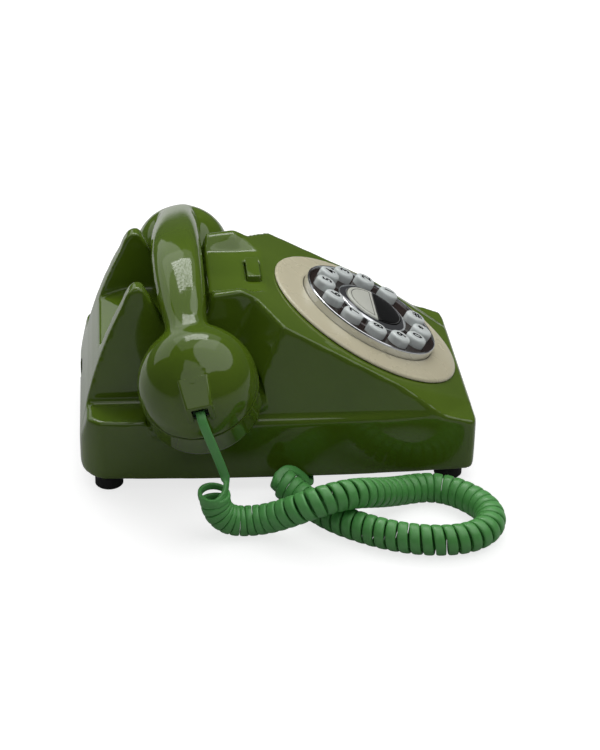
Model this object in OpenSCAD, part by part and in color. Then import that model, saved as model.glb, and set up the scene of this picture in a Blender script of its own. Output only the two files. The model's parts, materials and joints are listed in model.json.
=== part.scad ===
// Desk telephone with a ring of push keys, a sloping case, a handset on a cradle and a curly cord.
// Millimetres. The origin is on the table under the middle of the case. The front is at minus Y.

/* [Case] */
// Depth of the case from front to back
case_d = 210; // [180:1:240]
// Width of the case at the middle of its sides
case_w = 142; // [130:1:160]
// How far each side bows out between its corners
side_bow = 4; // [1:0.5:8]
// Radius of the upright corners at the front
corner_r = 11; // [6:0.5:18]
// Radius of the upright corners at the back
back_corner_r = 22; // [10:1:30]
// Height of the feet under the case
foot_h = 7; // [4:0.5:10]
// Height of the front edge above the table
front_h = 36; // [28:1:44]
// Slope of the dial face in degrees
dial_slope = 28.5; // [24:0.5:32]
// Height of the shelves beside the cradle
shelf_h = 42; // [36:1:48]
// Half width of the upper case at the shelves
upper_half = 68; // [62:1:72]
// How much the upper sides lean in for each millimetre of height
upper_lean = 0.15; // [0.05:0.01:0.25]
// Wall thickness of the case
wall = 2.6; // [2:0.1:4]

/* [Cradle] */
// Half width of the cradle block at its top
block_half = 40; // [36:0.5:44]
// How much the block sides lean in for each millimetre of height
block_lean = 0.1; // [0:0.01:0.2]
// Half width of the flat in front of the handset
ledge_half = 25; // [18:1:30]
// Height of the flat in front of the handset
ledge_h = 96; // [90:0.5:100]
// Half width of the finger space between the ears
grip_half = 30; // [24:1:33]
// Height of the floor of the finger space
grip_h = 73; // [66:1:80]

/* [Dial] */
// Distance of the dial centre from the front edge, along Y
dial_in = 53.5; // [50:0.5:60]
// Radius of the cream disc
disc_r = 57; // [50:0.5:60]
// Outer radius of the keypad bezel
bezel_r = 40.3; // [38:0.1:44]
// Height of the bezel above the dial face
bezel_h = 8; // [5:0.5:10]
// Radius of the circle of keys
key_ring_r = 30.3; // [29:0.1:31]
// Angle of the first key, from the right and towards the top
key_first = -25.6; // [-40:0.1:0]
// Angle between keys
key_step = 28.8; // [27:0.1:29.5]
// Radius of a key
key_r = 5.8; // [5:0.1:6]
// Height of the key tops above the dial face
key_top = 11.5; // [10:0.5:13]
// Radius of the hub buttons
hub_r = 19.3; // [17:0.1:20]
// Distance of the split between the hub buttons from the dial centre
hub_split = -3.6; // [-8:0.1:0]

/* [Handset] */
// Distance of each cup from the middle
cup_x = 78; // [76:1:84]
// Place of the line between the cup centres, along Y
cup_y = 43.5; // [42:0.5:45]
// Height of the line between the cup centres
cup_z = 69.2; // [68:0.1:71]
// Radius of the cups
cup_r = 31; // [28:0.5:33]
// How far each cup turns outwards in degrees
cup_turn = 30; // [26:1:32]
// How far the handset leans back in degrees
lean_back = 12.5; // [5:0.5:16]
// Depth of the caps below the cup centres
cap_h = 21; // [17:0.5:21]
// Height of the middle of the handle above the cup centres
grip_rise = 36.3; // [36:0.1:40]
// Radius of the arch of the handle
arch_r = 135; // [110:1:160]
// Width of the handle
grip_w = 25; // [20:0.5:28]
// Thickness of the handle
grip_t = 20; // [16:0.5:24]

/* [Cord] */
// Number of curls
curls = 62; // [40:1:66]
// Width of the flat cord
cord_w = 3.8; // [2:0.1:3.9]
// Thickness of the flat cord
cord_t = 2.4; // [2:0.1:2.8]
// Radius of the middle of the cord in a curl
curl_r = 6.2; // [5:0.1:7]

/* [Fits] */
// Gap around pieces that move
run_gap = 0.3; // [0.2:0.05:0.5]

/* [Hidden] */
$fn = 64;
half_d = case_d / 2;
bow_r = (half_d * half_d + side_bow * side_bow) / (2 * side_bow);
dial_tan = tan(dial_slope);
dial_y = dial_in - half_d;
dial_z = front_h + dial_tan * dial_in;
case_top = 106;
horn_y = 14;
horn_z = front_h + dial_tan * (horn_y + half_d);
// Arc of the back, from the top of the ears down to the upright part of the back
back_r = 218;
back_cy = half_d - back_r + 1.9;
back_cz = -7.5;
green = [0.33, 0.40, 0.17];
cream = [0.75, 0.71, 0.60];
dark = [0.16, 0.12, 0.10];
black = [0.04, 0.04, 0.04];
chrome = [0.80, 0.81, 0.83];
steel = [0.62, 0.63, 0.65];
board_green = [0.10, 0.35, 0.20];
white = [0.84, 0.86, 0.85];
cord_green = [0.25, 0.50, 0.26];

// Moves every corner of an anticlockwise outline inwards by d
function turn_in(a, b) = [-(b[1] - a[1]), b[0] - a[0]] / norm(b - a);
function inset(p, d) = [
  for (i = [0 : len(p) - 1])
    let (
      n1 = turn_in(p[(i + len(p) - 1) % len(p)], p[i]),
      n2 = turn_in(p[i], p[(i + 1) % len(p)])
    )
    p[i] + d * (n1 + n2) / (1 + n1 * n2)
];

// Side view of the wedge that carries the dial
function wedge_side(low) = [
  [-half_d, low],
  [30, low],
  [30, front_h + dial_tan * (30 + half_d)],
  [-half_d, front_h]
];
// Side view of the space in front of the curved back
function back_limit(low) = [
  [-half_d, low], [half_d, low], [half_d, 25],
  [back_cy + sqrt(back_r * back_r - (60 - back_cz) * (60 - back_cz)), 60],
  [-20, 60], [-half_d, front_h]
];
// Side view of the cradle: horn, handset notch, ear and the curved back
function block_side(low) = concat(
  [[-20, low], [half_d, low], [half_d, 25]],
  [
    for (z = [35 : 10 : 95])
      [back_cy + sqrt(back_r * back_r - (z - back_cz) * (z - back_cz)), z]
  ],
  [
    [79.5, 100], [76.5, 104.3], [73, case_top], [70.5, 104.8], [67, 99], [61.5, 88.5], [59.5, 85],
    [37.5, 89.1], [34, 101], [horn_y, horn_z], [-20, front_h + dial_tan * (half_d - 20)]
  ]
);

// Outline with round corners, those at the back with their own radius
module case_outline_2d(w, d, front_r, back_r2) {
  translate([-w / 2, front_r - d / 2]) square([w, d - front_r - back_r2]);
  translate([front_r - w / 2, -d / 2]) square([w - 2 * front_r, d / 2]);
  translate([back_r2 - w / 2, 0]) square([w - 2 * back_r2, d / 2]);
  for (x = [-1, 1]) {
    translate([x * (w / 2 - front_r), front_r - d / 2]) circle(front_r);
    translate([x * (w / 2 - back_r2), d / 2 - back_r2]) circle(back_r2);
  }
}

module rounded_box_2d(w, d, r) {
  square([w - 2 * r, d], center = true);
  square([w, d - 2 * r], center = true);
  for (x = [-1, 1]) {
    for (y = [-1, 1]) {
      translate([x * (w / 2 - r), y * (d / 2 - r)]) circle(r);
    }
  }
}

// Outline of the case seen from above, moved in by i
module plan(i) {
  intersection() {
    case_outline_2d(case_w - 2 * i, case_d - 2 * i, corner_r - i, back_corner_r - i);
    translate([bow_r - case_w / 2, 0]) circle(bow_r - i, $fn = 720);
    translate([case_w / 2 - bow_r, 0]) circle(bow_r - i, $fn = 720);
  }
}

// A side view drawn in Y and Z and pulled out to both sides
module from_side(points, half) {
  rotate([90, 0, 90]) translate([0, 0, -half]) linear_extrude(2 * half) polygon(points);
}

// A front view drawn in X and Z and pulled from y0 to y1
module from_front(points, y0, y1) {
  translate([0, y1, 0]) rotate([90, 0, 0]) linear_extrude(y1 - y0) polygon(points);
}

function lean_trapezoid(half, lean, at_z, low, high) = [
  [-(half + lean * (at_z - low)), low],
  [half + lean * (at_z - low), low],
  [half - lean * (high - at_z), high],
  [-(half - lean * (high - at_z)), high]
];

// Everything behind the slanting wall of one side recess
module recess_cut(side, i) {
  mirror([side < 0 ? 0 : 1, 0, 0])
    translate([-37.4, 13.3, 100.6])
      rotate([0, -22.9, 130.9])
        translate([-i, -200, -200]) cube(400);
}

// Everything above the slight facet at one front corner of the dial face
module corner_cut(side, i) {
  mirror([side < 0 ? 0 : 1, 0, 0])
    translate([-62.5, -66, front_h + dial_tan * (half_d - 66)])
      rotate([0, -53, -114])
        translate([-i, -200, -200]) cube(400);
}

// The hollow on top: the flat before the handset and the finger space behind it
module valley(i) {
  from_front(
    [
      [-ledge_half - i, ledge_h - i], [ledge_half + i, ledge_h - i], [37.5 + i, 101.5 - i],
      [37.5 + i, 140], [-37.5 - i, 140], [-37.5 - i, 101.5 - i]
    ],
    -30, 39 + i
  );
  from_side(
    [
      [35 - i, ledge_h + 1], [40 - i, grip_h - i], [80, grip_h - 1 - i], [130, grip_h - 18 - i],
      [130, 140], [35 - i, 140]
    ],
    grip_half + i
  );
}

// The solid form of the case with every face moved in by i, open downwards from low
module case_form(i, low) {
  difference() {
    union() {
      intersection() {
        translate([0, 0, low]) linear_extrude(shelf_h - i - low) plan(i);
        from_side(inset(back_limit(low), i), 90);
      }
      intersection() {
        translate([0, 0, low]) linear_extrude(130 - low) plan(i);
        from_front(lean_trapezoid(upper_half - i, upper_lean, shelf_h, low, 120), -130, 60);
        difference() {
          from_side(inset(wedge_side(low), i), 90);
          recess_cut(-1, i);
          recess_cut(1, i);
          corner_cut(-1, i);
          corner_cut(1, i);
        }
      }
      intersection() {
        translate([0, 0, low]) linear_extrude(130 - low) plan(i);
        from_front(lean_trapezoid(block_half - i, block_lean, 104, low, 120), -130, 130);
        from_side(inset(block_side(low), i), 60);
      }
    }
    valley(i);
  }
}

// Moves its children into the plane of the dial face, with the origin at the dial centre
module on_dial() {
  translate([0, dial_y, dial_z]) rotate([dial_slope, 0, 0]) children();
}

half_w = case_w / 2;
screw_x = half_w - 21;
screw_front = 31 - half_d;
screw_back = half_d - 33;
screw_places = [
  [-screw_x, screw_front], [screw_x, screw_front], [-screw_x, screw_back], [screw_x, screw_back]
];
foot_front = 13 - half_d;
foot_back = half_d - 15;
foot_places = [
  [14 - half_w, foot_front], [half_w - 14, foot_front], [13 - half_w, foot_back], [half_w - 13, foot_back]
];
plunger_x = 36;
plunger_y = 49;
plunger_r = 2.8;
// The recall button sits on the flat, a little behind the top of the dial face
ledge_front = (ledge_h - front_h) / dial_tan - half_d;
recall_y = ledge_front + 5;
recall_half = ledge_half / 2;
recall_d = 7;
cord_in_x = 14 - half_w;
cord_in_y = -16;
cord_in_z = foot_h - 1;
line_x = 25;
// The main board and the ballast keep their distance from the back, and the sounder lies under the dial
board_half = half_w - 27;
board_back = half_d - 45;
board_d = 80;
board_z = foot_h + 11;
ballast_front = half_d - 39;
sounder_y = dial_y - 14.5;
keypad_screw_places = [[0, 42.8], [42.8, 0], [-42.8, 0], [0, -42.8]];

module case_shell() {
  color(green)
  difference() {
    union() {
      difference() {
        case_form(0, foot_h);
        case_form(wall, foot_h - 3);
      }
      intersection() {
        case_form(0.5, foot_h);
        union() {
          for (p = screw_places) {
            translate([p[0], p[1], foot_h + 3]) cylinder(r = 4, h = 60);
          }
          for (x = [-1, 1]) {
            translate([x * 20, recall_y, ledge_h - 10]) cylinder(r = 2.2, h = 9);
          }
        }
      }
    }
    for (p = screw_places) {
      translate([p[0], p[1], foot_h]) cylinder(r = 1.3, h = 20);
    }
    on_dial() translate([0, 0, -20]) cylinder(r = bezel_r + 0.2, h = 30);
    translate([-recall_half - run_gap, recall_y - recall_d / 2 - run_gap, ledge_h - 6])
      cube([2 * recall_half + 2 * run_gap, recall_d + 2 * run_gap, 20]);
    for (x = [-1, 1]) {
      translate([x * plunger_x, plunger_y, 60]) cylinder(r = plunger_r + run_gap, h = 40);
    }
    on_dial() for (p = keypad_screw_places) {
      translate([p[0], p[1], -wall - 1]) cylinder(r = 1.05, h = wall);
    }
    translate([line_x - 8.3, half_d - 6, foot_h + 3 - run_gap]) cube([16.6, 10, 18.6]);
  }
}

module base_plate() {
  color(black)
  difference() {
    union() {
      translate([0, 0, foot_h]) linear_extrude(3) plan(wall + run_gap);
      for (x = [-1, 1]) {
        for (y = [board_back - 56, board_back - 6]) {
          translate([x * (board_half - 6), y, foot_h + 3]) cylinder(r = 3, h = board_z - foot_h - 3);
        }
      }
    }
    for (p = screw_places) {
      translate([p[0], p[1], foot_h - 1]) cylinder(r = 1.75, h = 6);
      translate([p[0], p[1], foot_h - 1]) cylinder(r = 3.3, h = 2.6);
    }
    translate([-case_w / 2, cord_in_y - 5.6, foot_h - 1]) cube([cord_in_x + case_w / 2 + 15.3, 11.2, 5]);
  }
}

module rubber_feet() {
  color(black)
  for (p = foot_places) {
    translate([p[0], p[1], 0]) rotate_extrude()
      polygon([[0, 0], [6.7, 0], [7.5, 0.8], [7.5, foot_h], [0, foot_h]]);
  }
}

module base_screws() {
  color(steel)
  for (p = screw_places) {
    translate([p[0], p[1], foot_h]) {
      cylinder(r = 3, h = 1.6);
      translate([0, 0, 1.6]) cylinder(r = 1.25, h = 14);
    }
  }
}

module dial_plate() {
  color(cream)
  on_dial() rotate_extrude($fn = 128)
    polygon([
      [bezel_r + 0.2, 0.2], [disc_r, 0.2], [disc_r, 1.1], [disc_r - 1, 2], [bezel_r + 2, 3],
      [bezel_r + 0.2, 3]
    ]);
}

module keypad_bezel() {
  color(chrome)
  on_dial() difference() {
    rotate_extrude($fn = 128)
      polygon([
        [bezel_r - 2, -wall - 2], [bezel_r + 5, -wall - 2], [bezel_r + 5, -wall], [bezel_r, -wall],
        [bezel_r, bezel_h - 1.6], [bezel_r - 0.6, bezel_h - 0.4], [bezel_r - 1.4, bezel_h],
        [bezel_r - 2, bezel_h - 0.6]
      ]);
    for (p = keypad_screw_places) {
      translate([p[0], p[1], -wall - 3]) cylinder(r = 1.3, h = 4);
    }
  }
}

face_r = bezel_r - 2;
face_h = 6.5;
board_h = -wall - 3.6;

module key_places() {
  for (i = [0 : 11]) {
    rotate([0, 0, key_first + i * key_step]) translate([key_ring_r, 0, 0]) children();
  }
}

module keypad_face() {
  color(dark)
  on_dial() difference() {
    union() {
      translate([0, 0, face_h - 2.5]) cylinder(r = face_r, h = 2.5, $fn = 128);
      translate([0, 0, board_h + 1.6]) difference() {
        cylinder(r = face_r, h = face_h - board_h - 2, $fn = 128);
        translate([0, 0, -1]) cylinder(r = face_r - 1, h = 40, $fn = 128);
      }
    }
    key_places() translate([0, 0, face_h - 5]) cylinder(r = key_r + run_gap, h = 10);
    translate([0, 0, face_h - 5]) cylinder(r = hub_r + run_gap, h = 10);
  }
}

// One key: a domed button with a flange that holds it under the face
module key_form(i) {
  color(white)
  on_dial() rotate([0, 0, key_first + i * key_step]) translate([key_ring_r, 0, 0]) rotate_extrude()
    polygon([
      [0, 1.2], [6.6, 1.2], [6.6, face_h - 2.5 - run_gap], [key_r, face_h - 2.5 - run_gap],
      [key_r, key_top - 2.2], [key_r - 0.5, key_top - 1], [key_r - 1.6, key_top - 0.3],
      [key_r - 3, key_top], [0, key_top]
    ]);
}

module key_1() {
  key_form(0);
}

module key_2() {
  key_form(1);
}

module key_3() {
  key_form(2);
}

module key_4() {
  key_form(3);
}

module key_5() {
  key_form(4);
}

module key_6() {
  key_form(5);
}

module key_7() {
  key_form(6);
}

module key_8() {
  key_form(7);
}

module key_9() {
  key_form(8);
}

module key_0() {
  key_form(9);
}

module key_star() {
  key_form(10);
}

module key_hash() {
  key_form(11);
}

module hub_ring() {
  color(chrome)
  on_dial() rotate_extrude($fn = 96)
    polygon([
      [hub_r + 2.1, face_h], [hub_r + 3.7, face_h], [hub_r + 3.7, face_h + 2], [hub_r + 3.2, face_h + 2.7],
      [hub_r + 2.5, face_h + 2.7], [hub_r + 2.1, face_h + 2.2]
    ]);
}

// One part of the round hub, kept on the side of the split that is given by up
module hub_form(up) {
  on_dial() intersection() {
    rotate_extrude($fn = 96)
      polygon([
        [0, 1.6], [hub_r + 1.2, 1.6], [hub_r + 1.2, face_h - 2.5 - run_gap],
        [hub_r, face_h - 2.5 - run_gap], [hub_r, 9.4], [hub_r - 0.8, 10.2], [0, 10.2]
      ]);
    translate([-40, up ? hub_split + 0.2 : hub_split - 40.2, 0]) cube([80, up ? 80 : 40, 30]);
  }
}

module hub_cream_button() {
  color(cream) hub_form(true);
}

module hub_black_button() {
  color(black) hub_form(false);
}

module key_mat() {
  color([0.75, 0.75, 0.72])
  on_dial() {
    translate([0, 0, board_h + 1.6]) cylinder(r = face_r - 1.4, h = 1.4);
    key_places() translate([0, 0, board_h + 2.8]) cylinder(r1 = 4.6, r2 = 3.4, h = -1 - board_h - 2.8);
    for (y = [-11, 7]) {
      translate([0, y, board_h + 2.8]) cylinder(r1 = 4.6, r2 = 3.4, h = -1 - board_h - 2.8);
    }
  }
}

module keypad_board() {
  color(board_green)
  on_dial() difference() {
    translate([0, 0, board_h]) cylinder(r = bezel_r + 5, h = 1.6);
    for (p = keypad_screw_places) {
      translate([p[0], p[1], board_h - 1]) cylinder(r = 1.3, h = 4);
    }
  }
}

module keypad_screws() {
  color(steel)
  on_dial() for (p = keypad_screw_places) {
    translate([p[0], p[1], board_h - 1.4]) cylinder(r = 2.2, h = 1.4);
    translate([p[0], p[1], board_h]) cylinder(r = 1, h = 5.2);
  }
}

module recall_button() {
  color(green)
  union() {
    translate([-recall_half, recall_y - recall_d / 2, ledge_h - 5])
      cube([2 * recall_half, recall_d, 7.6]);
    translate([-recall_half - 2, recall_y - recall_d / 2 - 1, ledge_h - 5])
      cube([2 * recall_half + 4, recall_d + 2, 5 - wall - run_gap]);
  }
}

module recall_switch() {
  color(board_green)
  union() {
    translate([-24, recall_y - 6, ledge_h - 11.6]) cube([48, 12, 1.6]);
    translate([-3, recall_y - 3, ledge_h - 10.1]) cube([6, 6, 2.6]);
  }
}

bar_z = 58;
plunger_top = 88.6;

module hook_plungers() {
  color(black)
  for (x = [-1, 1]) {
    translate([x * plunger_x, plunger_y, bar_z + 4]) cylinder(r = plunger_r, h = plunger_top - bar_z - 5.4);
    translate([x * plunger_x, plunger_y, plunger_top - 1.4]) cylinder(r1 = plunger_r, r2 = 1.2, h = 1.4);
  }
}

module hook_bar() {
  color(black) translate([-plunger_x - 3, plunger_y - 4, bar_z]) cube([2 * plunger_x + 6, 8, 4]);
}

module hook_switch() {
  color(dark)
  union() {
    translate([-10, plunger_y - 3.5, bar_z - 10.4]) cube([20, 7, 10]);
    translate([-10, plunger_y - 6, board_z + 1.6]) cube([20, 2.5, bar_z - board_z - 2]);
    translate([-10, plunger_y - 6, board_z + 1.6]) cube([20, 12, 2]);
  }
}

module main_board() {
  color(board_green)
  translate([-board_half, board_back - board_d, board_z]) cube([2 * board_half, board_d, 1.6]);
}

module sounder() {
  color(black)
  translate([0, sounder_y, foot_h + 3]) difference() {
    union() {
      cylinder(r = 20, h = 3);
      cylinder(r = 14, h = 9);
    }
    translate([0, 0, 7]) cylinder(r = 10, h = 5);
  }
}

module ballast_plate() {
  color(steel) translate([6 - board_half, ballast_front, foot_h + 3]) cube([board_half + 8, 26, 6]);
}

module line_socket() {
  color(black)
  translate([line_x, half_d - 17, foot_h + 3]) difference() {
    translate([-8, 0, 0]) cube([16, 16.5, 18]);
    translate([-5.5, 4, 5]) cube([11, 20, 9]);
  }
}

module cord_socket() {
  color(black)
  translate([cord_in_x, cord_in_y, cord_in_z]) difference() {
    union() {
      translate([0, -5.3, -4]) cube([15, 10.6, 8]);
      translate([-2, -8.5, 4]) cube([20, 17, 1.5]);
    }
    translate([-1, -4.4, -3.1]) cube([13, 8.8, 6.2]);
  }
}

// Handset: its own frame has the line between the cup centres along X
module on_handset() {
  translate([0, cup_y, cup_z]) rotate([-lean_back, 0, 0]) children();
}

module on_cup(side) {
  on_handset() translate([side * cup_x, 0, 0]) rotate([0, side * cup_turn, 0]) children();
}

module handle_form(w, t, reach) {
  translate([0, 0, grip_rise - arch_r]) rotate([90, 0, 0]) rotate([0, 0, 90 - reach])
    rotate_extrude(angle = 2 * reach, $fn = 180)
      translate([arch_r, 0]) rounded_box_2d(t, w, 6);
}

// Half of the angle that the handle spans, with its ends inside the cups
handle_reach = 42;
lug_u = cup_r - 3.2;
lug_root_w = 16;
lug_end_w = 11.4;
sock_w = 9.6;
plug_w = 7.4;
sock_z = 17;
seam_z = -3;
// The ear cup is smaller and sits a little further out, higher and further back
ear_r = cup_r - 3.6;
ear_out = 5;
ear_up = 1.1;
ear_back = 1.7;

module on_ear() {
  on_handset() translate([cup_x + ear_out, ear_back, ear_up]) rotate([0, cup_turn, 0]) children();
}

// Space inside a cup, open on the side of its cap
module hollow_form(r) {
  sphere(r = r - 2.6, $fn = 96);
  translate([0, 0, seam_z - 80]) cylinder(r = 60, h = 80);
}

// Lug on the left cup that holds the socket, narrower at its end
module lug_form() {
  intersection() {
    rotate([90, 0, 0]) linear_extrude(lug_root_w, center = true)
      polygon([[-lug_u, 9], [-12, 9], [-12, 28], [-15, 28], [-lug_u, sock_z + 5]]);
    linear_extrude(40)
      polygon([
        [-lug_u - 1, -lug_end_w / 2], [-12, -lug_root_w / 2], [-12, lug_root_w / 2],
        [-lug_u - 1, lug_end_w / 2]
      ]);
  }
}

module handset_shell() {
  color(green)
  difference() {
    union() {
      on_handset() handle_form(grip_w, grip_t, handle_reach);
      on_cup(-1) sphere(r = cup_r, $fn = 96);
      on_ear() sphere(r = ear_r, $fn = 96);
      on_cup(-1) lug_form();
    }
    on_cup(-1) hollow_form(cup_r);
    on_ear() hollow_form(ear_r);
    on_cup(-1) translate([-lug_u - 5, -sock_w / 2 - 0.3, sock_z - 4.3]) cube([22, sock_w + 0.6, 8.6]);
  }
}

module cap_form(r) {
  difference() {
    rotate_extrude($fn = 96)
      polygon([
        [0, -cap_h], [r - 8, -cap_h], [r - 5, -cap_h + 1.2], [r - 2.6, -cap_h + 4], [r - 0.9, -cap_h + 9],
        [r, seam_z], [r - 3, seam_z], [r - 3.8, -cap_h + 9], [r - 8, -cap_h + 3], [0, -cap_h + 3]
      ]);
    translate([0, 0, -cap_h - 1]) cylinder(r = 1.3, h = 6);
    for (a = [0 : 60 : 300]) {
      rotate([0, 0, a]) translate([8, 0, -cap_h - 1]) cylinder(r = 1.3, h = 6);
    }
  }
}

module mouthpiece_cap() {
  color(green) on_cup(-1) cap_form(cup_r);
}

module earpiece_cap() {
  color(green) on_ear() cap_form(ear_r);
}

module capsule_form(r) {
  translate([0, 0, -cap_h + 5]) cylinder(r = r - 7, h = 5);
  translate([0, 0, -cap_h + 9]) cylinder(r = r - 12, h = 6);
  translate([0, 0, -cap_h + 3]) difference() {
    cylinder(r = 14, h = 3);
    translate([0, 0, -1]) cylinder(r = 12, h = 2.9);
  }
}

module microphone() {
  color(steel) on_cup(-1) capsule_form(cup_r);
}

module receiver() {
  color(steel) on_ear() capsule_form(ear_r);
}

module handset_socket() {
  color(black)
  on_cup(-1) translate([-lug_u, -sock_w / 2, sock_z - 4]) difference() {
    translate([0.4, 0, 0]) cube([15, sock_w, 8]);
    translate([-1, 0.7, 0.9]) cube([13, sock_w - 1.4, 6.2]);
  }
}

module plug_handset() {
  color([0.12, 0.13, 0.12])
  on_cup(-1) translate([-lug_u + 1, -plug_w / 2, sock_z - 2.7]) cube([10.8, plug_w, 5.4]);
}

module plug_base() {
  color([0.12, 0.13, 0.12])
  translate([cord_in_x + 0.7, cord_in_y - 4, cord_in_z - 2.7]) cube([11, 8, 5.4]);
}

// Point of the row frame for a point given in the frame of the left cup
function cup_point(q) =
  let (
    x = q[0] * cos(cup_turn) - q[2] * sin(cup_turn) - cup_x,
    z = q[0] * sin(cup_turn) + q[2] * cos(cup_turn),
    y = q[1]
  )
  [x, cup_y + y * cos(lean_back) + z * sin(lean_back), cup_z - y * sin(lean_back) + z * cos(lean_back)];

function unit(v) = v / norm(v);
function sum_of(v) = v * [for (i = v) 1];
function smooth(t) = t <= 0 ? 0 : t >= 1 ? 1 : t * t * (3 - 2 * t);
// Place on a smooth line that starts at the first of the points p, passes close to the others and
// ends at the last, where t counts the points
function along(p, t) =
  let (
    n = len(p),
    i = max(0, min(n - 2, floor(t))),
    u = t - i,
    b = p[i],
    c = p[i + 1],
    a = i > 0 ? p[i - 1] : 2 * b - c,
    d = i < n - 2 ? p[i + 2] : 2 * c - b
  )
  (
    pow(1 - u, 3) * a + (3 * u * u * u - 6 * u * u + 4) * b
    + (1 + 3 * u + 3 * u * u - 3 * u * u * u) * c + u * u * u * d
  ) / 6;

lead_out = cup_point([-lug_u - 4, 0, sock_z]);
lead_from = cup_point([-lug_u + 0.6, 0, sock_z]);
curl_z = curl_r + cord_t / 2 + 0.4;
// Middle line of the curls on the table, from the handset's end to the socket in the case
curl_line = [
  [-113, 37, 27], [-114, 36.5, 17], [-114, 31, 10], [-113, 23, curl_z], [-114, 13, 9],
  [-117, 4, 13], [-121, -5, 19], [-122, -15, 23.5], [-119, -26, 25], [-115, -36, 24],
  [-107, -45, 19], [-97, -53, 13], [-89, -63, 9], [-84, -75, curl_z], [-87, -87, curl_z],
  [-95, -96, curl_z], [-106, -104, curl_z], [-119, -106, curl_z], [-130, -100, curl_z],
  [-136, -89, curl_z], [-137, -76, curl_z], [-135, -63, curl_z], [-130, -50, curl_z],
  [-124, -40, curl_z], [-117, -30, curl_z], [-108, -21, curl_z], [-98, -14, curl_z],
  [-91, -8, 9], [-86, -2, 12], [-83, 3, 15]
];
lead_line = [
  lead_from, lead_out, [-115.5, 42.5, 62], [-113, 39, 50], [-110, 34, 39], [-108.5, 31, 31],
  [-110, 30.5, 27.5]
];
tail_line = [
  [-80, 1, 19], [-76.5, -5, 17.5], [-75, -11, 12], [-74, cord_in_y + 1, 6.5], [-70, cord_in_y, 4.4],
  [-62, cord_in_y, cord_in_z], [cord_in_x + 0.6, cord_in_y, cord_in_z]
];
lead_steps = 20;
tail_steps = 18;
per_curl = 8;
curl_rings = curls * per_curl;
function axis_at(t) = along(curl_line, t * (len(curl_line) - 1));
// Evenly spaced places along the middle line
fine = 300;
fine_points = [for (i = [0 : fine]) axis_at(i / fine)];
fine_steps = [for (i = [1 : fine]) fine_points[i] - fine_points[i - 1]];
// In a bend the curls stand further apart, so that they don't meet on its inside
function bend_at(i) =
  i < 1 || i >= fine - 1
    ? 0
    : norm(unit(fine_steps[i + 1]) - unit(fine_steps[i - 1])) / 2 / norm(fine_steps[i]);
step_share = [
  for (i = [0 : fine - 1])
    norm(fine_steps[i]) * (1 - min(0.75, 0.9 * bend_at(i) * (curl_r + cord_t / 2)))
];
function running(i, acc) = i > fine ? acc : running(i + 1, concat(acc, [acc[i - 1] + step_share[i - 1]]));
runs = running(1, [0]);
curl_length = runs[fine];
place_table = [for (i = [0 : fine]) [runs[i], i / fine]];
function axis_even(u) = axis_at(lookup(u * curl_length, place_table));
axis_line = [for (i = [0 : curl_rings]) axis_even(i / curl_rings)];
axis_dirs = [
  for (i = [0 : curl_rings])
    unit(axis_line[min(i + 2, curl_rings)] - axis_line[max(i - 2, 0)])
];
// A direction across the middle line that turns with it and never twists round it
function square_to(v, t) = unit(v - (v * t) * t);
function carried(i, acc) =
  i > curl_rings ? acc : carried(i + 1, concat(acc, [square_to(acc[i - 1], axis_dirs[i])]));
sides = carried(1, [square_to([0, -1, 0], axis_dirs[0])]);
function radial(i) =
  let (a = 360 * i / per_curl)
  cos(a) * sides[i] + sin(a) * cross(axis_dirs[i], sides[i]);
function curl_grow(i) = smooth((curl_rings - i) / per_curl / 0.6);
curl_part = [for (i = [1 : curl_rings - 1]) axis_line[i] + curl_r * curl_grow(i) * radial(i)];
lead_part = [for (i = [0 : lead_steps]) along(lead_line, i / lead_steps * (len(lead_line) - 1))];
tail_part = [for (i = [0 : tail_steps]) along(tail_line, i / tail_steps * (len(tail_line) - 1))];
cord_path = concat(lead_part, curl_part, tail_part);
// The flat side of the cord faces away from the middle line
face_hint = concat(
  [for (p = lead_part) radial(0)],
  [for (i = [1 : curl_rings - 1]) radial(i)],
  [for (p = tail_part) radial(curl_rings)]
);
rings = len(cord_path);
cord_rings = [
  for (i = [0 : rings - 1])
    let (
      d = unit(cord_path[min(i + 1, rings - 1)] - cord_path[max(i - 1, 0)]),
      h = face_hint[i] - (face_hint[i] * d) * d,
      n = unit(h),
      w = cross(d, n)
    )
    [
      for (k = [0 : 5])
        cord_path[i] + cord_t / 2 * cos(60 * k + 30) * n * 1.155 + cord_w / 2 * sin(60 * k + 30) * w
    ]
];
cord_points = [for (r = cord_rings) for (p = r) p];
cord_faces = concat(
  [[for (k = [0 : 5]) k]],
  [
    for (i = [0 : rings - 2])
      for (k = [0 : 5])
        let (a = 6 * i + k, b = 6 * i + (k + 1) % 6)
        each [[a, a + 6, b + 6], [a, b + 6, b]]
  ],
  [[for (k = [5 : -1 : 0]) 6 * (rings - 1) + k]]
);
near_gap = min([
  for (i = [lead_steps : rings - 7])
    for (j = [i + 6 : min(i + 11, rings - 1)])
      for (a = cord_rings[i])
        for (b = cord_rings[j])
          norm(a - b)
]);
far_gap = min([
  for (i = [0 : rings - 13])
    for (j = [i + 12 : rings - 1])
      norm(cord_path[i] - cord_path[j])
]) - cord_w;
cord_length = sum_of([for (i = [1 : rings - 1]) norm(cord_path[i] - cord_path[i - 1])]);
echo(least_gap_mm = min(near_gap, far_gap), cord_length_mm = cord_length);
echo(near_gap_mm = near_gap, far_gap_mm = far_gap);
echo(lowest_mm = min([for (p = cord_points) p[2]]));

module handset_cord() {
  color(cord_green) polyhedron(points = cord_points, faces = cord_faces, convexity = 10);
}

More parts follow.
